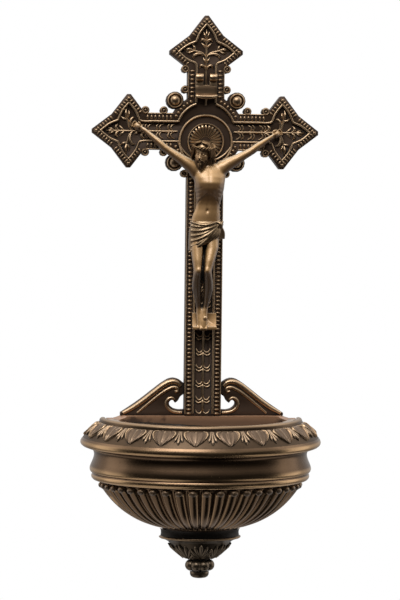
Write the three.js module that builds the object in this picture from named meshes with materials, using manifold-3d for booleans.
import * as THREE from 'three';
import { mergeVertices } from 'three/addons/utils/BufferGeometryUtils.js';
import Module from 'manifold-3d';

// Holy water stoup for a wall: a crucifix that stands on a half-round basin.
// X runs to the viewer's right, Y into the wall and Z up. The wall is the plane Y = 0, and the origin lies on
// the flat back of the bowl. All sizes are in millimetres, and depths are measured out from the wall.

const wasm = await Module();
wasm.setup();

// Clearances
const SEAT_GAP = 0.3; // between pieces that rest on each other
const PIN_GAP = 0.3; // around a pin, peg or screw, on the radius
const SCREW_SINK = 0.2; // screw heads below the wall plane
const OVERLAP = 1; // solids run into each other where they are joined or cut

// Basin, measured down from the lip and out from the middle of the wall plane
const LIP_HEIGHT = 30; // lip above the origin
const BASIN_FLATTENING = 0.7; // depth of the half-oval plan over its half width
const CAVITY_RADIUS = 44.5; // half width of the water space
const WALL_THICKNESS = 3;
const BACK_THICKNESS = 10; // flat back of the vessel, and depth of the ledge
const LIP_THICKNESS = 2.4; // lip above the vessel's wall
const LIP_WIDTH = 3; // lip outside the vessel's wall
const LIP_ROUND = 0.8;
const RIM_DEPTH = 16.8;
const RIM_PROJECTION = 12.8; // roll moulding outside the vessel's wall
const ROLL_RADIUS = 3.4;
const ROLL_FILLET = 1.2; // fillet under the roll
const ROLL_UNDERCUT = 2.4; // fillet set back from the roll's middle
const NECK_DEPTH = 17.6;
const NECK_WALL = 5.6; // at the waist of the hollow
const NECK_SWELL = 2.2; // swelling below the hollow, beyond the waist
const NECK_UNDERCUT = 2.4; // lower edge set back from the waist
const NECK_TOP_STEP = 1.1; // top fillet beyond the waist
const NECK_BEAD = 1.7; // height of each of the two lower beads
const SHOULDER_WIDTH = 3.4; // ledge on the vessel under the neck
const BELLY_DEPTH = 22.2;
const BELLY_BEND_RADIUS = 41; // where the belly's curve turns under
const BELLY_BEND_DEPTH = 17.6; // depth of that turn below the shoulder
const FOOT_RADIUS = 21;
const FLOOR_THICKNESS = 4.5;
const GADROON_COUNT = 23; // over the half round
const GADROON_RELIEF = 1.5;

// Pendant under the bowl
const PENDANT_FLATTENING = 0.6;
const FINIAL_FLATTENING = 0.85;
const COLLAR_HEIGHT = 3.6;
const COLLAR_RADIUS = 20.6;
const COLLAR_GROOVE = 1.2;
const CONE_HEIGHT = 11;
const CONE_TOP_RADIUS = 18.6;
const CONE_WAIST_RADIUS = 13;
const CONE_END_RADIUS = 7.4;
const BERRY_RADIUS = 3;
const BERRY_COUNT = 4; // over the half round
const BERRY_RING = 4.8; // radius through the middles of the berries
const BUTTON_HEIGHT = 3.4;
const BUTTON_RADIUS = 5.6;
const STUD_RADIUS = 1;
const STUD_DEPTH = 2.1; // middle of the stud out from the wall
const STUD_GRIP = 10; // length inside the bowl
const STUD_END = 1.8; // length inside the button

// Cross, laid out from the crossing of its arms
const CROSSING_HEIGHT = 140.8; // crossing above the lip
const CROSS_THICKNESS = 7.5;
const ARM_LENGTH = 38; // crossing to the middle of a side terminal
const HEAD_LENGTH = 39; // crossing to the middle of the top terminal
const SHAFT_WIDTH = 18.2;
const TERMINAL_REACH = 18; // middle of a terminal to its points
const TERMINAL_NOTCH = 8.3; // notch between two points, across and along
const TERMINAL_TIP = 0.9; // half width of a blunted point
const CROSSING_RADIUS = 18.6;
const PANEL_SINK = 1.2; // sunk panel inside the beaded border
const PANEL_HALF_WIDTH = 4.9;
const PANEL_RADIUS = 14.5; // panel at the crossing
const PANEL_TIP = 13.9; // panel's points in a terminal
const PANEL_CUSP = 5.3;
const KNOB_RADIUS = 1.9; // small ring knobs on the outline
const KNOB_SETBACK = 8.2; // terminal's middle back to its knobs
const KNOB_BITE = 0.7; // knobs let into the edge of an arm
const TONGUE_WIDTH = 12;
const TONGUE_LENGTH = 24;
const TONGUE_THICKNESS = 4;
const TONGUE_SCREW_INSET = 6.5; // screw to either end of the tongue
const SHAFT_SCREW_SKIN = 2; // metal left between screw and water

// Cabochons in the angles of the cross
const CABOCHON_OFFSET = 15.3; // across and along, from the crossing
const CABOCHON_RADIUS = 3.5;
const CABOCHON_DOME = 2.1;
const CABOCHON_HEIGHT = 2.3;
const CABOCHON_RING = 1.1; // height and width of the ring round the dome
const CABOCHON_PAD = 0.8; // pad beyond the cabochon
const CABOCHON_WEB = 4; // width of the web that carries a pad
const PEG_RADIUS = 1;
const PEG_LENGTH = 3;

// Nimbus and scroll
const NIMBUS_DROP = 4.8; // below the crossing
const NIMBUS_RADIUS = 13.6;
const NIMBUS_RING_WIDTH = 1.3;
const NIMBUS_INNER_RADIUS = 9.2;
const NIMBUS_THICKNESS = 1.3;
const NIMBUS_RELIEF = 0.8;
const RAY_COUNT = 24;
const RAY_LENGTH = 3.8;
const RAY_ROOT_RADIUS = 3.9;
const SCROLL_BOTTOM = 16.4; // above the crossing
const SCROLL_HEIGHT = 12;
const SCROLL_WIDTH = 10.8;
const SCROLL_THICKNESS = 1.2;
const SCROLL_ROLL_RADIUS = 1.1;
const SCROLL_SPLIT = 3; // gap between the two upper curls
const SCROLL_PIN_RADIUS = 0.6;
const SCROLL_PIN_LENGTH = 3;
const SCROLL_PIN_SPREAD = 3; // pins to either side of the middle

// Volute brackets
const BRACKET_REACH = 40.4; // from the middle of the shaft to the toe
const BRACKET_RISE = 18.1;
const BRACKET_THICKNESS = 4.6;
const BRACKET_RIB_RADIUS = 1.3;
const BRACKET_EYE_RADIUS = 2.2;
const BRACKET_EYE_HEIGHT = 1.6;
const DOWEL_RADIUS = 1.1;
const DOWEL_RISE = 3.6; // in the bracket
const DOWEL_DROP = 6; // in the ledge
const DOWEL_DEPTH = 2.3; // middle of the dowels out from the wall
const DOWEL_INNER = 12; // inner dowel from the shaft's edge
const DOWEL_OUTER = 10; // outer dowel from the toe

// Figure, laid out from the crossing and from the front of the cross
const FIGURE_OFFSET = 0.7; // to the right
const LUG_RADIUS = 2.4;
const LUG_DROP = 27; // below the crossing
const FIGURE_SCREW_RADIUS = 1.1;
const FIGURE_SCREW_HEAD = 2.2;
const FIGURE_SCREW_HEAD_HEIGHT = 1.3;
const FIGURE_SCREW_GRIP = 5; // length inside the lug and back
const ARM_PEG_RADIUS = 1;
const HAND_REACH = 34.3; // middle of the figure to the nail in a hand
const HAND_RISE = { left: 2.1, right: -0.9 }; // nails above the crossing
const ELBOW_REACH = 20.6;
const ELBOW_DROP = 9.6; // below the crossing, with the hand level with it
const HAND_HALF_THICKNESS = 1.1;
const NAIL_RADIUS = 0.55;
const NAIL_HEAD_RADIUS = 1.1;
const NAIL_HEAD_HEIGHT = 0.8;
const NAIL_GRIP = 3; // length inside the cross
const FOOT_BLOCK_WIDTH = 11.8;
const FOOT_BLOCK_TOP = 89.4; // below the crossing
const FOOT_BLOCK_HEIGHT = 8;
const FOOT_BLOCK_DEPTH = 3.4;
const FOOT_BLOCK_SHELF = 2.6; // toe shelf beyond the block's face
const FOOT_BLOCK_SHELF_HEIGHT = 1.6;
const FOOT_NAIL_SET = 2.2; // nail below the block's top
const FOOT_FRONT = 8.4; // top of the crossed feet at the nail, out from the cross

// Keyhole hanger
const HANGER_WIDTH = 24;
const HANGER_HEIGHT = 13;
const HANGER_THICKNESS = 1.5;
const HANGER_RISE = 3; // above the crossing
const KEYHOLE_ENTRY_RADIUS = 3.6;
const KEYHOLE_SLOT_RADIUS = 1.9;
const KEYHOLE_TRAVEL = 5;
const KEYHOLE_DEPTH = 2.6; // room for the head of the wall screw
const HANGER_SCREW_INSET = 3.4; // from the ends of the plate
const SCREW_RADIUS = 1.1;
const SCREW_HEAD_RADIUS = 2;
const SCREW_HEAD_HEIGHT = 1;
const HANGER_SCREW_LENGTH = 4.2;
const SHAFT_SCREW_RADIUS = 1.4;
const SHAFT_SCREW_HEAD_RADIUS = 2.4;
const SHAFT_SCREW_HEAD_HEIGHT = 1.5;

// Smoothness
const BASIN_SIDES = 48;
const PENDANT_SIDES = 28;
const PIN_SIDES = 8;
const KNOB_SIDES = 8;
const PAD_SIDES = 14;
const DISC_SIDES = 36;
const SPLINE_STEPS = 3; // along each stretch of a bracket's outline
const GADROON_STEPS = 4;
const LIMB_SIDES = 9;
const TORSO_SIDES = 12;
const EGG_ROWS = 6;

// Levels that follow from the sizes above, basin levels below the lip
const WALL_RADIUS = CAVITY_RADIUS + WALL_THICKNESS;
const RING_RADIUS = WALL_RADIUS + SEAT_GAP;
const BELLY_RADIUS = WALL_RADIUS + SHOULDER_WIDTH;
const NECK_TOP = -RIM_DEPTH - SEAT_GAP;
const NECK_BOTTOM = NECK_TOP - NECK_DEPTH;
const SHOULDER_LEVEL = NECK_BOTTOM - SEAT_GAP;
const FOOT_LEVEL = SHOULDER_LEVEL - BELLY_DEPTH;
const COLLAR_TOP = FOOT_LEVEL - SEAT_GAP;
const CONE_TOP = COLLAR_TOP - COLLAR_HEIGHT - SEAT_GAP;
const BERRIES_TOP = CONE_TOP - CONE_HEIGHT - SEAT_GAP;
const BUTTON_TOP = BERRIES_TOP - 2 * BERRY_RADIUS - SEAT_GAP;
const SHAFT_HALF = SHAFT_WIDTH / 2;
const SHAFT_FOOT = -CROSSING_HEIGHT + SEAT_GAP;
const TONGUE_END = -CROSSING_HEIGHT - TONGUE_LENGTH;
const PANEL_DEPTH = CROSS_THICKNESS - PANEL_SINK;
const CABOCHON_PAD_RADIUS = CABOCHON_RADIUS + CABOCHON_PAD;
const FOOT_NAIL_DROP = FOOT_BLOCK_TOP + FOOT_NAIL_SET;
const FAR = 400;

function vec(x, y, z) {
  return new THREE.Vector3(x, y, z);
}

// A closed geometry as a solid that can be cut and joined.
function solid(geometry) {
  const bare = geometry.clone();
  bare.deleteAttribute('normal');
  bare.deleteAttribute('uv');
  const merged = mergeVertices(bare, 1e-4);
  return new wasm.Manifold(
    new wasm.Mesh({
      numProp: 3,
      vertProperties: merged.attributes.position.array,
      triVerts: new Uint32Array(merged.index.array),
    }),
  );
}

function joined(solids) {
  return solids.reduce((whole, next) => whole.add(next));
}

function cut(body, tools) {
  return tools.reduce((left, tool) => left.subtract(tool), body);
}

// A solid back as a named mesh.
function piece(name, body, finish, parent) {
  const { vertProperties, triVerts } = body.getMesh();
  const geometry = new THREE.BufferGeometry();
  geometry.setAttribute('position', new THREE.BufferAttribute(vertProperties, 3));
  geometry.setIndex(new THREE.BufferAttribute(triVerts, 1));
  geometry.computeVertexNormals();
  const mesh = new THREE.Mesh(geometry, finish.clone());
  mesh.name = name;
  parent.add(mesh);
}

function block(low, high) {
  const size = high.clone().sub(low);
  const middle = low.clone().add(high).multiplyScalar(0.5);
  const geometry = new THREE.BoxGeometry(size.x, size.y, size.z);
  return solid(geometry.translate(middle.x, middle.y, middle.z));
}

// Round rod between two points.
function rod(radius, from, to, sides = PIN_SIDES) {
  const along = to.clone().sub(from);
  const geometry = new THREE.CylinderGeometry(radius, radius, along.length(), sides);
  const turn = new THREE.Quaternion().setFromUnitVectors(vec(0, 1, 0), along.clone().normalize());
  const middle = from.clone().add(to).multiplyScalar(0.5);
  return solid(geometry.applyQuaternion(turn).translate(middle.x, middle.y, middle.z));
}

// Profile of [radius, height] points turned about the vertical, running up the outside of the section.
function turnedGeometry(profile, sides) {
  const points = profile.map(([radius, height]) => new THREE.Vector2(radius, height));
  return new THREE.LatheGeometry(points, sides).rotateX(Math.PI / 2);
}

// The front half of a turned solid, flattened towards the wall.
function halfTurned(geometry, flattening) {
  const round = solid(geometry.scale(1, flattening, 1));
  return round.intersect(block(vec(-FAR, -FAR, -FAR), vec(FAR, 0, FAR)));
}

// Profile of [radius, depth] points turned about an axis that points out of the wall.
function boss(profile, x, z, sides) {
  const points = profile.map(([radius, depth]) => new THREE.Vector2(radius, depth));
  const geometry = new THREE.LatheGeometry(points, sides);
  return solid(geometry.rotateX(Math.PI).translate(x, 0, z));
}

// An outline seen from the front, between two depths out from the wall.
function slab(shape, back, front) {
  const geometry = new THREE.ExtrudeGeometry(shape, {
    depth: front - back,
    bevelEnabled: false,
    curveSegments: SPLINE_STEPS,
  });
  return solid(geometry.rotateX(Math.PI / 2).translate(0, -back, 0));
}

function outline(points) {
  return new THREE.Shape(points.map(([x, z]) => new THREE.Vector2(x, z)));
}

function disc(x, z, radius, sides) {
  const corner = (_, i) => [
    x + radius * Math.cos((2 * Math.PI * i) / sides),
    z + radius * Math.sin((2 * Math.PI * i) / sides),
  ];
  return outline(Array.from({ length: sides }, corner));
}

function bar(x0, z0, x1, z1) {
  return outline([[x0, z0], [x1, z0], [x1, z1], [x0, z1]]);
}

function moved(points, x, z) {
  return points.map(([px, pz]) => [px + x, pz + z]);
}

// A body that swells and tapers through stations of [middle, half width, half depth].
function limb(stations, grown = 0, sides = LIMB_SIDES) {
  const last = stations.length - 1;
  const geometry = new THREE.CylinderGeometry(1, 1, 1, sides, last);
  const position = geometry.attributes.position;
  const corner = vec(0, 0, 0);
  for (let i = 0; i < position.count; i += 1) {
    corner.fromBufferAttribute(position, i);
    const row = Math.round((0.5 - corner.y) * last);
    const [middle, halfWidth, halfDepth] = stations[row];
    const before = stations[Math.max(row - 1, 0)][0];
    const after = stations[Math.min(row + 1, last)][0];
    const along = after.clone().sub(before).normalize();
    const across = vec(0, 1, 0).cross(along).normalize();
    const deep = along.clone().cross(across);
    const place = middle.clone();
    place.addScaledVector(across, corner.x * (halfWidth + grown));
    place.addScaledVector(deep, corner.z * (halfDepth + grown));
    position.setXYZ(i, place.x, place.y, place.z);
  }
  return solid(geometry);
}

function egg(middle, half, lean = 0) {
  const geometry = new THREE.SphereGeometry(1, LIMB_SIDES, EGG_ROWS);
  geometry.scale(half.x, half.y, half.z).rotateY(lean);
  return solid(geometry.translate(middle.x, middle.y, middle.z));
}

// A countersunk screw driven from the wall side, its head just below the wall plane.
function screwFromBack(x, z, radius, headRadius, headHeight, length, gap = 0) {
  const head = gap ? -OVERLAP : SCREW_SINK;
  const profile = [
    [0, head],
    [headRadius + gap, head],
    [headRadius + gap, SCREW_SINK + headHeight + gap],
    [radius + gap, SCREW_SINK + headHeight + gap],
    [radius + gap, length + gap],
    [0, length + gap],
  ];
  return boss(profile, x, z, PIN_SIDES);
}

// Basin

function bellyCurve(inset, lift) {
  return new THREE.QuadraticBezierCurve(
    new THREE.Vector2(BELLY_RADIUS - inset, SHOULDER_LEVEL),
    new THREE.Vector2(BELLY_BEND_RADIUS - inset, SHOULDER_LEVEL - BELLY_BEND_DEPTH + lift),
    new THREE.Vector2(FOOT_RADIUS - inset, FOOT_LEVEL + lift),
  );
}

// The belly with its round-headed gadroons: each groove is drawn in from the full radius.
function gadroonedBelly() {
  const curve = bellyCurve(0, 0);
  const rows = [1, 0.94, 0.78, 0.6, 0.42, 0.24, 0.07, 0];
  const side = rows.map((t) => curve.getPoint(t).toArray());
  const profile = [[0, FOOT_LEVEL], ...side, [0, SHOULDER_LEVEL]];
  const sides = 2 * GADROON_COUNT * GADROON_STEPS;
  const geometry = turnedGeometry(profile, sides);
  const position = geometry.attributes.position;
  for (let i = 0; i < position.count; i += 1) {
    const row = i % profile.length;
    const radius = profile[row][0];
    if (radius > 0) {
      const column = Math.floor(i / profile.length);
      const across = (column / GADROON_STEPS) % 1;
      const fromCrown = 2 * Math.min(across, 1 - across);
      const ended = row === 1 || row === profile.length - 2;
      const drop = ended ? 1 : 1 - Math.sqrt(1 - fromCrown ** 2);
      const scale = 1 - (GADROON_RELIEF * drop) / radius;
      position.setXY(i, position.getX(i) * scale, position.getY(i) * scale);
    }
  }
  return halfTurned(geometry, BASIN_FLATTENING);
}

function waterSpace() {
  const inner = bellyCurve(BELLY_RADIUS - CAVITY_RADIUS, FLOOR_THICKNESS);
  const side = [1, 0.75, 0.5, 0.25, 0].map((t) => inner.getPoint(t).toArray());
  const profile = [[0, FOOT_LEVEL + FLOOR_THICKNESS], ...side, [CAVITY_RADIUS, FAR], [0, FAR]];
  const half = halfTurned(turnedGeometry(profile, BASIN_SIDES), BASIN_FLATTENING);
  return half.intersect(block(vec(-FAR, -FAR, -FAR), vec(FAR, -BACK_THICKNESS, FAR)));
}

function halfDisc(radius, bottom, top) {
  const profile = [[0, bottom], [radius, bottom], [radius, top], [0, top]];
  return halfTurned(turnedGeometry(profile, BASIN_SIDES), BASIN_FLATTENING);
}

function dowelPlaces() {
  const inner = SHAFT_HALF + DOWEL_INNER;
  const outer = BRACKET_REACH - DOWEL_OUTER;
  return { left_outer: -outer, left_inner: -inner, right_inner: inner, right_outer: outer };
}

function dowel(x, gap) {
  return rod(
    DOWEL_RADIUS + gap,
    vec(x, -DOWEL_DEPTH, -DOWEL_DROP - gap),
    vec(x, -DOWEL_DEPTH, DOWEL_RISE + gap),
  );
}

function shaftScrewPlaces() {
  return { upper: -TONGUE_SCREW_INSET, lower: -TONGUE_LENGTH + TONGUE_SCREW_INSET };
}

function shaftScrew(z, gap) {
  const length = BACK_THICKNESS - SHAFT_SCREW_SKIN;
  return screwFromBack(
    0, z, SHAFT_SCREW_RADIUS, SHAFT_SCREW_HEAD_RADIUS, SHAFT_SCREW_HEAD_HEIGHT, length, gap,
  );
}

function pendantStud(gap) {
  const bottom = BUTTON_TOP - STUD_END;
  return rod(
    STUD_RADIUS + gap,
    vec(0, -STUD_DEPTH, bottom - gap),
    vec(0, -STUD_DEPTH, FOOT_LEVEL + STUD_GRIP + gap),
  );
}

function basinBowl() {
  const wallTop = -LIP_THICKNESS - SEAT_GAP;
  const wall = halfDisc(WALL_RADIUS, SHOULDER_LEVEL - OVERLAP, wallTop);
  const ledge = halfDisc(CAVITY_RADIUS - SEAT_GAP, wallTop - OVERLAP, 0);
  const groove = block(
    vec(-TONGUE_WIDTH / 2 - SEAT_GAP, -TONGUE_THICKNESS - SEAT_GAP, -TONGUE_LENGTH - SEAT_GAP),
    vec(TONGUE_WIDTH / 2 + SEAT_GAP, OVERLAP, OVERLAP),
  );
  const body = joined([gadroonedBelly(), wall, ledge]);
  return cut(body, [
    waterSpace(),
    groove,
    pendantStud(PIN_GAP),
    ...Object.values(shaftScrewPlaces()).map((z) => shaftScrew(z, PIN_GAP)),
    ...Object.values(dowelPlaces()).map((x) => dowel(x, PIN_GAP)),
  ]);
}

// A round stretch of a profile, from one angle in degrees to another.
function arc(radius, height, size, from, to, steps) {
  return Array.from({ length: steps + 1 }, (_, i) => {
    const angle = THREE.MathUtils.degToRad(from + ((to - from) * i) / steps);
    return [radius + size * Math.cos(angle), height + size * Math.sin(angle)];
  });
}

function basinRim() {
  const rollRadius = WALL_RADIUS + RIM_PROJECTION - ROLL_RADIUS;
  const rollLevel = -RIM_DEPTH + ROLL_FILLET + ROLL_RADIUS;
  const filletRadius = rollRadius - ROLL_UNDERCUT;
  const lipEdge = WALL_RADIUS + LIP_WIDTH;
  const profile = [
    [RING_RADIUS, -LIP_THICKNESS],
    [RING_RADIUS, -RIM_DEPTH],
    [filletRadius, -RIM_DEPTH],
    [filletRadius, -RIM_DEPTH + ROLL_FILLET],
    ...arc(rollRadius, rollLevel, ROLL_RADIUS, -90, 90, 8),
    [lipEdge + LIP_ROUND, -2 * LIP_ROUND],
    [lipEdge, 0],
    [CAVITY_RADIUS + LIP_ROUND, 0],
    [CAVITY_RADIUS, -LIP_ROUND],
    [CAVITY_RADIUS, -LIP_THICKNESS],
    [RING_RADIUS, -LIP_THICKNESS],
  ];
  return halfTurned(turnedGeometry(profile, BASIN_SIDES), BASIN_FLATTENING);
}

function basinNeck() {
  const waist = RING_RADIUS + NECK_WALL;
  const swell = waist + NECK_SWELL;
  const beads = NECK_BOTTOM + 2 * NECK_BEAD;
  const hollow = NECK_TOP - beads;
  const profile = [
    [RING_RADIUS, NECK_TOP],
    [RING_RADIUS, NECK_BOTTOM],
    [waist - NECK_UNDERCUT, NECK_BOTTOM],
    [waist - 0.25 * NECK_UNDERCUT, NECK_BOTTOM + NECK_BEAD / 2],
    [waist - 0.17 * NECK_UNDERCUT, NECK_BOTTOM + NECK_BEAD],
    [waist + 0.55 * NECK_SWELL, NECK_BOTTOM + 1.4 * NECK_BEAD],
    [waist + 0.73 * NECK_SWELL, beads],
    [swell, beads + 0.2 * hollow],
    [waist + 0.86 * NECK_SWELL, beads + 0.34 * hollow],
    [waist + 0.32 * NECK_SWELL, beads + 0.5 * hollow],
    [waist, beads + 0.68 * hollow],
    [waist + 0.09 * NECK_SWELL, beads + 0.82 * hollow],
    [waist + NECK_TOP_STEP, beads + 0.94 * hollow],
    [waist + NECK_TOP_STEP, NECK_TOP],
    [RING_RADIUS, NECK_TOP],
  ];
  return halfTurned(turnedGeometry(profile, BASIN_SIDES), BASIN_FLATTENING);
}

// Pendant

function pendantCollar() {
  const bottom = COLLAR_TOP - COLLAR_HEIGHT;
  const profile = [
    [0, bottom],
    [COLLAR_RADIUS - 0.8 * COLLAR_GROOVE, bottom],
    [COLLAR_RADIUS, bottom + 0.5 * COLLAR_GROOVE],
    [COLLAR_RADIUS, COLLAR_TOP - 1.4 * COLLAR_GROOVE],
    [COLLAR_RADIUS - COLLAR_GROOVE, COLLAR_TOP - 1.2 * COLLAR_GROOVE],
    [COLLAR_RADIUS - COLLAR_GROOVE, COLLAR_TOP],
    [0, COLLAR_TOP],
  ];
  const half = halfTurned(turnedGeometry(profile, PENDANT_SIDES), PENDANT_FLATTENING);
  return half.subtract(pendantStud(PIN_GAP));
}

function pendantCone() {
  const bottom = CONE_TOP - CONE_HEIGHT;
  const flare = new THREE.QuadraticBezierCurve(
    new THREE.Vector2(CONE_TOP_RADIUS, CONE_TOP - 0.07 * CONE_HEIGHT),
    new THREE.Vector2(CONE_WAIST_RADIUS, CONE_TOP - 0.4 * CONE_HEIGHT),
    new THREE.Vector2(CONE_END_RADIUS, bottom),
  );
  const side = [1, 0.75, 0.5, 0.25, 0].map((t) => flare.getPoint(t).toArray());
  const profile = [[0, bottom], ...side, [CONE_TOP_RADIUS, CONE_TOP], [0, CONE_TOP]];
  const half = halfTurned(turnedGeometry(profile, PENDANT_SIDES), PENDANT_FLATTENING);
  return half.subtract(pendantStud(PIN_GAP));
}

function pendantBerries() {
  const middle = BERRIES_TOP - BERRY_RADIUS;
  const profile = [
    [0, BERRIES_TOP - 2 * BERRY_RADIUS],
    [BERRY_RING, BERRIES_TOP - 2 * BERRY_RADIUS],
    [BERRY_RING, BERRIES_TOP],
    [0, BERRIES_TOP],
  ];
  const core = solid(turnedGeometry(profile, PENDANT_SIDES).scale(1, FINIAL_FLATTENING, 1));
  const berries = Array.from({ length: BERRY_COUNT }, (_, i) => {
    const angle = (Math.PI * (i + 0.5)) / BERRY_COUNT;
    const x = BERRY_RING * Math.cos(angle);
    const y = -BERRY_RING * FINIAL_FLATTENING * Math.sin(angle);
    return egg(vec(x, y, middle), vec(BERRY_RADIUS, BERRY_RADIUS, BERRY_RADIUS));
  });
  const front = block(vec(-FAR, -FAR, -FAR), vec(FAR, 0, FAR));
  return cut(joined([core, ...berries]).intersect(front), [pendantStud(PIN_GAP)]);
}

function pendantButton() {
  const bottom = BUTTON_TOP - BUTTON_HEIGHT;
  const profile = [
    [0, bottom],
    [0.55 * BUTTON_RADIUS, bottom],
    [0.86 * BUTTON_RADIUS, bottom + 0.25 * BUTTON_HEIGHT],
    [0.88 * BUTTON_RADIUS, bottom + 0.6 * BUTTON_HEIGHT],
    [BUTTON_RADIUS, BUTTON_TOP],
    [0, BUTTON_TOP],
  ];
  const half = halfTurned(turnedGeometry(profile, PENDANT_SIDES), FINIAL_FLATTENING);
  return half.subtract(pendantStud(PIN_GAP));
}

// Cross

// A pointed four-lobed outline with a notch between neighbouring points.
function terminalPoints() {
  const quarter = [
    [TERMINAL_TIP, TERMINAL_REACH],
    [TERMINAL_NOTCH, TERMINAL_NOTCH],
    [TERMINAL_REACH, TERMINAL_TIP],
  ];
  return quarterTurns(quarter);
}

// A quarter of an outline, running clockwise, carried round all four quarters counterclockwise.
function quarterTurns(quarter) {
  const points = [];
  for (let turn = 0; turn < 4; turn += 1) {
    for (const [x, z] of [...quarter].reverse()) {
      const places = [[x, z], [-z, x], [-x, -z], [z, -x]];
      points.push(places[turn]);
    }
  }
  return points;
}

function panelPoints() {
  const swell = 0.5 * (PANEL_TIP + PANEL_CUSP);
  const quarter = [
    [0, PANEL_TIP],
    [0.62 * PANEL_CUSP, swell],
    [PANEL_CUSP, PANEL_CUSP],
    [swell, 0.62 * PANEL_CUSP],
  ];
  return quarterTurns(quarter);
}

function terminalPlaces() {
  return [[-ARM_LENGTH, 0], [ARM_LENGTH, 0], [0, HEAD_LENGTH]];
}

// Small ring knobs: a pair behind each terminal and a pair beside each cabochon.
function knobPlaces() {
  const aside = SHAFT_HALF + KNOB_RADIUS - KNOB_BITE;
  const beside = CABOCHON_OFFSET + CABOCHON_RADIUS + KNOB_RADIUS;
  const places = [];
  for (const side of [-1, 1]) {
    places.push([side * aside, HEAD_LENGTH - KNOB_SETBACK]);
    for (const up of [-1, 1]) {
      places.push([side * (ARM_LENGTH - KNOB_SETBACK), up * aside]);
      places.push([side * aside, up * beside]);
      places.push([side * beside, up * aside]);
    }
  }
  return places;
}

function cabochonPlaces() {
  const d = CABOCHON_OFFSET;
  return { upper_left: [-d, d], upper_right: [d, d], lower_left: [-d, -d], lower_right: [d, -d] };
}

// The diagonal web from the crossing out to a cabochon's pad.
function cabochonWeb([x, z]) {
  const aside = CABOCHON_WEB / 2 / Math.hypot(x, z);
  const [sx, sz] = [-z * aside, x * aside];
  return outline([[-sx, -sz], [x - sx, z - sz], [x + sx, z + sz], [sx, sz]]);
}

function crossBody() {
  const shapes = [
    bar(-ARM_LENGTH, -SHAFT_HALF, ARM_LENGTH, SHAFT_HALF),
    bar(-SHAFT_HALF, SHAFT_FOOT, SHAFT_HALF, HEAD_LENGTH),
    disc(0, 0, CROSSING_RADIUS, DISC_SIDES),
    ...terminalPlaces().map(([x, z]) => outline(moved(terminalPoints(), x, z))),
    ...Object.values(cabochonPlaces()).map(([x, z]) => disc(x, z, CABOCHON_PAD_RADIUS, PAD_SIDES)),
    ...Object.values(cabochonPlaces()).map(cabochonWeb),
    ...knobPlaces().map(([x, z]) => disc(x, z, KNOB_RADIUS, KNOB_SIDES)),
  ];
  const tongue = bar(-TONGUE_WIDTH / 2, TONGUE_END, TONGUE_WIDTH / 2, SHAFT_FOOT + OVERLAP);
  const plate = joined(shapes.map((shape) => slab(shape, 0, CROSS_THICKNESS)));
  return plate.add(slab(tongue, 0, TONGUE_THICKNESS));
}

function sunkPanel() {
  const shapes = [
    bar(-ARM_LENGTH, -PANEL_HALF_WIDTH, ARM_LENGTH, PANEL_HALF_WIDTH),
    bar(-PANEL_HALF_WIDTH, SHAFT_FOOT + OVERLAP, PANEL_HALF_WIDTH, HEAD_LENGTH),
    disc(0, 0, PANEL_RADIUS, DISC_SIDES),
    disc(0, -NIMBUS_DROP, NIMBUS_RADIUS + SEAT_GAP, DISC_SIDES),
    ...terminalPlaces().map(([x, z]) => outline(moved(panelPoints(), x, z))),
  ];
  return joined(shapes.map((shape) => slab(shape, PANEL_DEPTH, FAR)));
}

function keyholeCut(back, front) {
  const z = HANGER_RISE - KEYHOLE_TRAVEL / 2;
  const top = z + KEYHOLE_TRAVEL;
  const entry = slab(disc(0, z, KEYHOLE_ENTRY_RADIUS, PAD_SIDES), back, front);
  const slotEnd = slab(disc(0, top, KEYHOLE_SLOT_RADIUS, PAD_SIDES), back, front);
  const slot = slab(bar(-KEYHOLE_SLOT_RADIUS, z, KEYHOLE_SLOT_RADIUS, top), back, front);
  return joined([entry, slotEnd, slot]);
}

function hangerOutline(gap) {
  const half = HANGER_WIDTH / 2 + gap;
  const rise = HANGER_HEIGHT / 2 + gap;
  return bar(-half, HANGER_RISE - rise, half, HANGER_RISE + rise);
}

function hangerScrew(side, gap) {
  const x = side * (HANGER_WIDTH / 2 - HANGER_SCREW_INSET);
  return screwFromBack(
    x, HANGER_RISE, SCREW_RADIUS, SCREW_HEAD_RADIUS, SCREW_HEAD_HEIGHT, HANGER_SCREW_LENGTH, gap,
  );
}

function hangerPocket() {
  const plate = slab(hangerOutline(SEAT_GAP), -OVERLAP, HANGER_THICKNESS + SEAT_GAP);
  const z = HANGER_RISE - KEYHOLE_TRAVEL / 2;
  const headRoom = KEYHOLE_ENTRY_RADIUS;
  const back = HANGER_THICKNESS;
  const front = HANGER_THICKNESS + KEYHOLE_DEPTH;
  const low = slab(disc(0, z, headRoom, PAD_SIDES), back, front);
  const high = slab(disc(0, z + KEYHOLE_TRAVEL, headRoom, PAD_SIDES), back, front);
  const middle = slab(bar(-headRoom, z, headRoom, z + KEYHOLE_TRAVEL), back, front);
  return joined([plate, low, high, middle]);
}

function hangerPlate() {
  const plate = slab(hangerOutline(0), 0, HANGER_THICKNESS);
  return cut(plate, [keyholeCut(-OVERLAP, FAR), hangerScrew(-1, PIN_GAP), hangerScrew(1, PIN_GAP)]);
}

function nailHole(x, z, depth) {
  return rod(NAIL_RADIUS + PIN_GAP, vec(x, -depth, z), vec(x, -FAR, z));
}

function handPlaces() {
  return {
    left: [FIGURE_OFFSET - HAND_REACH, HAND_RISE.left],
    right: [FIGURE_OFFSET + HAND_REACH, HAND_RISE.right],
  };
}

function figureScrew(gap) {
  const length = CROSS_THICKNESS + FIGURE_SCREW_GRIP;
  return screwFromBack(
    0, -LUG_DROP, FIGURE_SCREW_RADIUS, FIGURE_SCREW_HEAD, FIGURE_SCREW_HEAD_HEIGHT, length, gap,
  );
}

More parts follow.
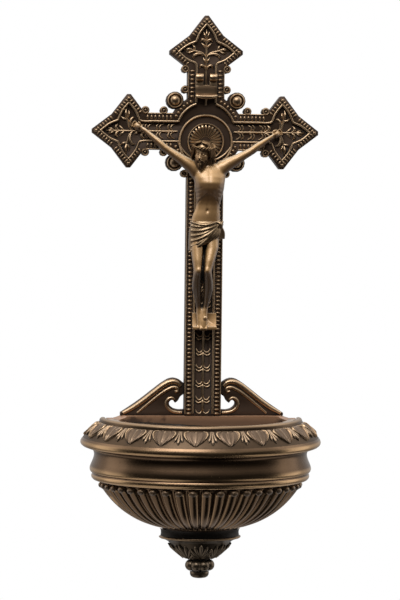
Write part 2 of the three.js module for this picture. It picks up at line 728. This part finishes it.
function cabochonPeg([x, z], gap) {
  const seat = CROSS_THICKNESS;
  return rod(PEG_RADIUS + gap, vec(x, -seat + PEG_LENGTH + gap, z), vec(x, -seat - OVERLAP, z));
}

function scrollPin(side, gap) {
  const x = side * SCROLL_PIN_SPREAD;
  const z = SCROLL_BOTTOM + SCROLL_HEIGHT / 2;
  const front = CROSS_THICKNESS + SEAT_GAP + 0.5 * SCROLL_THICKNESS;
  const back = PANEL_DEPTH - SCROLL_PIN_LENGTH;
  return rod(SCROLL_PIN_RADIUS + gap, vec(x, -back + gap, z), vec(x, -front - gap, z));
}

function crossPlate() {
  const screws = Object.values(shaftScrewPlaces()).map((z) =>
    shaftScrew(z, PIN_GAP).translate([0, 0, -CROSSING_HEIGHT]),
  );
  const hands = Object.values(handPlaces());
  const nailDepth = PANEL_DEPTH - NAIL_GRIP - PIN_GAP;
  return cut(crossBody(), [
    sunkPanel(),
    hangerPocket(),
    hangerScrew(-1, PIN_GAP),
    hangerScrew(1, PIN_GAP),
    figureScrew(PIN_GAP),
    scrollPin(-1, PIN_GAP),
    scrollPin(1, PIN_GAP),
    nailHole(0, -FOOT_NAIL_DROP, nailDepth),
    ...hands.map(([x, z]) => nailHole(x, z, nailDepth)),
    ...Object.values(cabochonPlaces()).map((place) => cabochonPeg(place, PIN_GAP)),
    ...screws,
  ]);
}

function cabochon(place) {
  const seat = CROSS_THICKNESS + SEAT_GAP;
  const ringInner = CABOCHON_RADIUS - CABOCHON_RING;
  const ringFoot = seat + 0.5 * CABOCHON_RING;
  const profile = [
    [0, seat],
    [CABOCHON_RADIUS, seat],
    [CABOCHON_RADIUS, ringFoot],
    [CABOCHON_RADIUS - 0.5 * CABOCHON_RING, seat + CABOCHON_RING],
    [ringInner, ringFoot],
    [CABOCHON_DOME, ringFoot],
    [0.85 * CABOCHON_DOME, seat + 0.7 * CABOCHON_HEIGHT],
    [0.5 * CABOCHON_DOME, seat + 0.94 * CABOCHON_HEIGHT],
    [0, seat + CABOCHON_HEIGHT],
  ];
  return boss(profile, ...place, PAD_SIDES).add(cabochonPeg(place, 0));
}

function nimbusDisc() {
  const back = PANEL_DEPTH + SEAT_GAP;
  const floor = back + NIMBUS_THICKNESS;
  const crest = floor + NIMBUS_RELIEF;
  const inner = NIMBUS_RADIUS - NIMBUS_RING_WIDTH;
  const second = NIMBUS_INNER_RADIUS - NIMBUS_RING_WIDTH;
  const profile = [
    [0, back],
    [NIMBUS_RADIUS, back],
    [NIMBUS_RADIUS, floor],
    [NIMBUS_RADIUS - 0.5 * NIMBUS_RING_WIDTH, crest],
    [inner, floor],
    [NIMBUS_INNER_RADIUS, floor],
    [NIMBUS_INNER_RADIUS - 0.5 * NIMBUS_RING_WIDTH, crest],
    [second, floor],
    [0, floor],
  ];
  const dish = boss(profile, 0, -NIMBUS_DROP, DISC_SIDES);
  const rays = [];
  for (let i = 0; i < RAY_COUNT; i += 1) {
    const step = Math.PI / RAY_COUNT;
    const angle = 2 * i * step;
    const tip = RAY_ROOT_RADIUS + RAY_LENGTH;
    rays.push([tip * Math.cos(angle), tip * Math.sin(angle)]);
    rays.push([RAY_ROOT_RADIUS * Math.cos(angle + step), RAY_ROOT_RADIUS * Math.sin(angle + step)]);
  }
  const star = outline(moved(rays, 0, -NIMBUS_DROP));
  return dish.add(slab(star, floor - 0.5 * NIMBUS_THICKNESS, floor + 0.6 * NIMBUS_RELIEF));
}

function titulusScroll() {
  const back = CROSS_THICKNESS + SEAT_GAP;
  const half = SCROLL_WIDTH / 2;
  const top = SCROLL_BOTTOM + SCROLL_HEIGHT;
  const sheet = slab(bar(-half, SCROLL_BOTTOM, half, top), back, back + SCROLL_THICKNESS);
  const rollDepth = back + SCROLL_ROLL_RADIUS;
  const roll = (from, to, z) => rod(SCROLL_ROLL_RADIUS, vec(from, -rollDepth, z), vec(to, -rollDepth, z));
  const notch = slab(bar(-SCROLL_SPLIT / 2, top - SCROLL_SPLIT, SCROLL_SPLIT / 2, FAR), 0, FAR);
  const rolls = [
    roll(-half, half, SCROLL_BOTTOM),
    roll(-half, half, top),
  ];
  return cut(joined([sheet, ...rolls]), [notch, scrollPin(-1, PIN_GAP), scrollPin(1, PIN_GAP)]);
}

// Volute bracket on the right; the left one is its mirror image.
function scrollBracket(side) {
  const inner = SHAFT_HALF + SEAT_GAP;
  const span = BRACKET_REACH - inner;
  const at = (u, v) => [inner + u * span, SEAT_GAP + v * (BRACKET_RISE - SEAT_GAP)];
  const back = new THREE.Shape();
  back.moveTo(...at(0, 0));
  back.lineTo(...at(1, 0));
  back.lineTo(...at(1, 0.04));
  back.splineThru([at(0.86, 0.2), at(0.68, 0.42), at(0.46, 0.72), at(0.32, 0.9), at(0.2, 1)].map(toVector));
  back.splineThru([at(0.1, 0.98), at(0, 0.86)].map(toVector));
  back.lineTo(...at(0, 0.6));
  back.splineThru([at(0.06, 0.52), at(0.12, 0.44), at(0.14, 0.5), at(0.21, 0.47)].map(toVector));
  back.splineThru([at(0.24, 0.36), at(0.18, 0.22), at(0.08, 0.13), at(0, 0.12)].map(toVector));
  const plate = slab(back, 0, BRACKET_THICKNESS);
  const ribPlaces = [
    at(0.93, 0.06), at(0.79, 0.18), at(0.63, 0.37), at(0.42, 0.65), at(0.29, 0.83), at(0.2, 0.9), at(0.11, 0.86),
  ];
  const ribPath = new THREE.CatmullRomCurve3(ribPlaces.map(([x, z]) => vec(x, -BRACKET_THICKNESS, z)));
  const section = new THREE.Shape().absarc(0, 0, BRACKET_RIB_RADIUS, 0, 2 * Math.PI);
  const ribSettings = { steps: 14, bevelEnabled: false, curveSegments: SPLINE_STEPS, extrudePath: ribPath };
  const rib = solid(new THREE.ExtrudeGeometry(section, ribSettings));
  const [eyeX, eyeZ] = at(0.13, 0.76);
  const eye = boss(
    [
      [0, BRACKET_THICKNESS - OVERLAP],
      [BRACKET_EYE_RADIUS, BRACKET_THICKNESS - OVERLAP],
      [BRACKET_EYE_RADIUS, BRACKET_THICKNESS + 0.4 * BRACKET_EYE_HEIGHT],
      [0.5 * BRACKET_EYE_RADIUS, BRACKET_THICKNESS + 0.9 * BRACKET_EYE_HEIGHT],
      [0, BRACKET_THICKNESS + BRACKET_EYE_HEIGHT],
    ],
    eyeX, eyeZ, PIN_SIDES,
  );
  const dowels = Object.values(dowelPlaces()).filter((x) => x > 0);
  const body = cut(joined([plate, rib, eye]), dowels.map((x) => dowel(x, PIN_GAP)));
  const ledge = block(vec(-FAR, -FAR, -FAR), vec(FAR, FAR, SEAT_GAP));
  const shaft = block(vec(-FAR, -FAR, -FAR), vec(inner, FAR, FAR));
  const trimmed = cut(body, [ledge, shaft]);
  return side > 0 ? trimmed : trimmed.mirror([1, 0, 0]);
}

function toVector([x, z]) {
  return new THREE.Vector2(x, z);
}

// Figure. Depths run out from the front of the cross as negative Y.

function torso(grown) {
  return limb(
    [
      [vec(-1, -6.9, -13), 2.2, 2.1],
      [vec(-0.2, -6.3, -15.8), 2.9, 2.6],
      [vec(0.2, -5.8, -17.4), 8.2, 3.2],
      [vec(0.8, -5.8, -22), 7.2, 4.3],
      [vec(0.9, -5.7, -28), 6.7, 4.4],
      [vec(0.3, -5.4, -33), 6, 3.9],
      [vec(-0.3, -5.2, -38), 5.5, 3.4],
      [vec(-0.8, -5.2, -42), 6.1, 3.7],
      [vec(-1, -5.3, -47), 7.5, 4.3],
      [vec(-1.2, -5.5, -52), 7.3, 4.5],
      [vec(-1.6, -5.6, -57), 6.2, 4.2],
    ],
    grown,
    TORSO_SIDES,
  );
}

function legs() {
  const sole = -FOOT_BLOCK_TOP;
  const left = limb([
    [vec(-4.4, -5.6, -50), 3.6, 3.6],
    [vec(-5.2, -6.4, -58), 3, 3.2],
    [vec(-4.9, -7.4, -68.7), 2.3, 2.5],
    [vec(-4.8, -6.2, -76), 2.5, 2.6],
    [vec(-3.7, -5.2, sole + 3.4), 1.5, 1.7],
    [vec(-3.1, -5.7, sole - 1.1), 1.9, 1.5],
    [vec(-2.9, -6.9, sole - 6.8), 1.8, 0.9],
  ]);
  const right = limb([
    [vec(2, -5.6, -50), 3.6, 3.6],
    [vec(3, -6.6, -58), 3, 3.2],
    [vec(-0.1, -7.8, -68.7), 2.3, 2.5],
    [vec(0.7, -6.8, -76), 2.4, 2.6],
    [vec(-0.4, -5.9, sole + 3.4), 1.5, 1.7],
    [vec(-1.1, -6.5, sole - 1.1), 1.9, 1.6],
    [vec(-1.5, -7.8, sole - 7.1), 1.8, 0.9],
  ]);
  return left.add(right);
}

function head() {
  const lean = 0.26;
  const skull = egg(vec(-1.9, -8.2, -10.6), vec(3.2, 3.9, 4.3), -lean);
  const beard = egg(vec(-2.9, -9.4, -14.8), vec(1.9, 2.2, 2.6), -lean);
  const hair = egg(vec(-1.5, -7.2, -11.4), vec(4, 3.4, 5.2), -lean);
  const crown = new THREE.TorusGeometry(3.6, 0.6, 5, TORSO_SIDES);
  crown.rotateX(0.25).rotateY(-lean).translate(-1.6, -8, -8.6);
  return joined([skull, beard, hair, solid(crown)]);
}

function loincloth() {
  const knot = egg(vec(6.4, -7.4, -45.6), vec(2, 1.7, 2));
  const tail = limb([
    [vec(6.6, -7.2, -45.5), 1.4, 1.1],
    [vec(7, -6.8, -50), 1.7, 1],
    [vec(6.6, -6.4, -54.5), 1.8, 0.8],
  ]);
  const wrap = limb([
    [vec(-0.8, -5.3, -44), 7, 4.3],
    [vec(-1, -5.5, -49), 8, 5],
    [vec(-1.6, -5.6, -55), 7.8, 4.8],
    [vec(-3, -5.6, -59), 5.6, 4],
  ]);
  return joined([wrap, knot, tail]);
}

function armPeg(side, gap) {
  return rod(ARM_PEG_RADIUS + gap, vec(side * (4 - gap), -5.8, -18.4), vec(side * 9.4, -5.8, -16.6));
}

function corpusBody() {
  const lugX = -FIGURE_OFFSET;
  const lug = rod(LUG_RADIUS, vec(lugX, PANEL_SINK - SEAT_GAP, -LUG_DROP), vec(lugX, -5, -LUG_DROP));
  const screw = figureScrew(PIN_GAP).translate([-FIGURE_OFFSET, CROSS_THICKNESS, 0]);
  const footNail = rod(
    NAIL_RADIUS + PIN_GAP,
    vec(-FIGURE_OFFSET, 0, -FOOT_NAIL_DROP),
    vec(-FIGURE_OFFSET, -FAR, -FOOT_NAIL_DROP),
  );
  const body = joined([torso(0), legs(), head(), loincloth(), lug]);
  const rest = footBlock(SEAT_GAP).translate([-FIGURE_OFFSET, CROSS_THICKNESS, 0]);
  return cut(body, [rest, screw, footNail, armPeg(-1, PIN_GAP), armPeg(1, PIN_GAP)]);
}

function corpusArm(side) {
  const rise = side > 0 ? HAND_RISE.right : HAND_RISE.left;
  const hand = vec(side * HAND_REACH, -HAND_HALF_THICKNESS, rise);
  const wrist = vec(side * (HAND_REACH - 3.4), -2.5, rise - 2);
  const shoulder = vec(side * 9.4, -5.6, -15.9);
  const elbow = vec(side * ELBOW_REACH, -4.8, 0.4 * rise - ELBOW_DROP);
  const arm = limb([
    [vec(side * 6, -5.8, -18), 2.4, 2.4],
    [shoulder, 2.5, 2.6],
    [shoulder.clone().lerp(elbow, 0.5), 2.1, 2.2],
    [elbow, 1.8, 1.9],
    [elbow.clone().lerp(wrist, 0.35), 1.9, 1.9],
    [wrist, 1.2, 1.2],
  ]);
  const palm = new THREE.SphereGeometry(1, LIMB_SIDES, EGG_ROWS);
  palm.scale(3.2, HAND_HALF_THICKNESS, 2.1).rotateY(-side * 0.6).translate(hand.x, hand.y, hand.z);
  const cuff = limb([
    [wrist, 1.2, 1.2],
    [vec(side * (HAND_REACH - 1.6), -1.6, rise - 0.9), 1.4, 0.9],
    [hand, 1.4, 0.7],
  ]);
  const whole = joined([arm, solid(palm), cuff]).subtract(torso(SEAT_GAP));
  const nail = rod(NAIL_RADIUS + PIN_GAP, vec(hand.x, FAR, hand.z), vec(hand.x, -FAR, hand.z));
  const cross = block(vec(-FAR, -SEAT_GAP, -FAR), vec(FAR, FAR, FAR));
  return cut(whole, [nail, cross]).add(armPeg(side, 0));
}

// A nail through to the cross, its head resting on what it holds.
function nail(x, z, seat) {
  const point = PANEL_DEPTH - NAIL_GRIP;
  const profile = [
    [0, point],
    [NAIL_RADIUS, point + 2 * NAIL_RADIUS],
    [NAIL_RADIUS, seat],
    [NAIL_HEAD_RADIUS, seat],
    [NAIL_HEAD_RADIUS, seat + 0.5 * NAIL_HEAD_HEIGHT],
    [0.5 * NAIL_HEAD_RADIUS, seat + NAIL_HEAD_HEIGHT],
    [0, seat + NAIL_HEAD_HEIGHT],
  ];
  return boss(profile, x, z, PIN_SIDES);
}

// Foot block with a toe shelf, also used with a gap to trim the feet that rest on it.
function footBlock(gap) {
  const half = FOOT_BLOCK_WIDTH / 2 + gap;
  const back = -CROSS_THICKNESS - SEAT_GAP + gap;
  const low = -FOOT_BLOCK_TOP - FOOT_BLOCK_HEIGHT - gap;
  const face = -CROSS_THICKNESS - SEAT_GAP - FOOT_BLOCK_DEPTH - gap;
  const shelfTop = -FOOT_BLOCK_TOP - FOOT_BLOCK_HEIGHT + FOOT_BLOCK_SHELF_HEIGHT + gap;
  const rest = block(vec(-half, face, low), vec(half, back, -FOOT_BLOCK_TOP + gap));
  const shelf = block(vec(-half, face - FOOT_BLOCK_SHELF, low), vec(half, back, shelfTop));
  return rest.add(shelf);
}

function suppedaneum() {
  return footBlock(0).subtract(nailHole(0, -FOOT_NAIL_DROP, 0));
}

// Finishes, as MeshStandardMaterial colours

function finish(color, roughness, metalness) {
  return new THREE.MeshStandardMaterial({ color, roughness, metalness });
}

const antiqueBronze = finish(0x5a4632, 0.48, 0.9);
const rubbedBronze = finish(0x94703f, 0.36, 0.95);
const satinBronze = finish(0x75593d, 0.34, 0.95);
const fixings = finish(0x9a9a98, 0.4, 1);

// Assembly

const stoup = new THREE.Group();
const basin = new THREE.Group();
basin.position.z = LIP_HEIGHT;
stoup.add(basin);
const cross = new THREE.Group();
cross.position.z = LIP_HEIGHT + CROSSING_HEIGHT;
stoup.add(cross);
const figure = new THREE.Group();
figure.position.set(FIGURE_OFFSET, -CROSS_THICKNESS, 0);
cross.add(figure);

piece('basin_bowl', basinBowl(), satinBronze, basin);
piece('basin_neck', basinNeck(), satinBronze, basin);
piece('basin_rim', basinRim(), satinBronze, basin);
piece('pendant_collar', pendantCollar(), satinBronze, basin);
piece('pendant_cone', pendantCone(), antiqueBronze, basin);
piece('pendant_berries', pendantBerries(), antiqueBronze, basin);
piece('pendant_button', pendantButton(), antiqueBronze, basin);
piece('pendant_stud', pendantStud(0), fixings, basin);
for (const [name, z] of Object.entries(shaftScrewPlaces())) {
  piece(`shaft_screw_${name}`, shaftScrew(z, 0), fixings, basin);
}
for (const [name, x] of Object.entries(dowelPlaces())) {
  piece(`bracket_dowel_${name}`, dowel(x, 0), fixings, basin);
}
piece('scroll_bracket_left', scrollBracket(-1), antiqueBronze, basin);
piece('scroll_bracket_right', scrollBracket(1), antiqueBronze, basin);

piece('cross_plate', crossPlate(), antiqueBronze, cross);
piece('hanger_plate', hangerPlate(), fixings, cross);
piece('hanger_screw_left', hangerScrew(-1, 0), fixings, cross);
piece('hanger_screw_right', hangerScrew(1, 0), fixings, cross);
for (const [name, place] of Object.entries(cabochonPlaces())) {
  piece(`cabochon_${name}`, cabochon(place), rubbedBronze, cross);
}
piece('nimbus_disc', nimbusDisc(), antiqueBronze, cross);
piece('titulus_scroll', titulusScroll(), antiqueBronze, cross);
piece('titulus_pin_left', scrollPin(-1, 0), fixings, cross);
piece('titulus_pin_right', scrollPin(1, 0), fixings, cross);
piece('suppedaneum', suppedaneum(), rubbedBronze, cross);
piece('corpus_screw', figureScrew(0), fixings, cross);

const handSeat = CROSS_THICKNESS + 2 * HAND_HALF_THICKNESS + SEAT_GAP;
for (const [name, [x, z]] of Object.entries(handPlaces())) {
  piece(`hand_nail_${name}`, nail(x, z, handSeat), rubbedBronze, cross);
}
piece('foot_nail', nail(0, -FOOT_NAIL_DROP, CROSS_THICKNESS + FOOT_FRONT), rubbedBronze, cross);

piece('corpus_body', corpusBody(), rubbedBronze, figure);
piece('corpus_arm_left', corpusArm(-1), rubbedBronze, figure);
piece('corpus_arm_right', corpusArm(1), rubbedBronze, figure);

export default stoup;
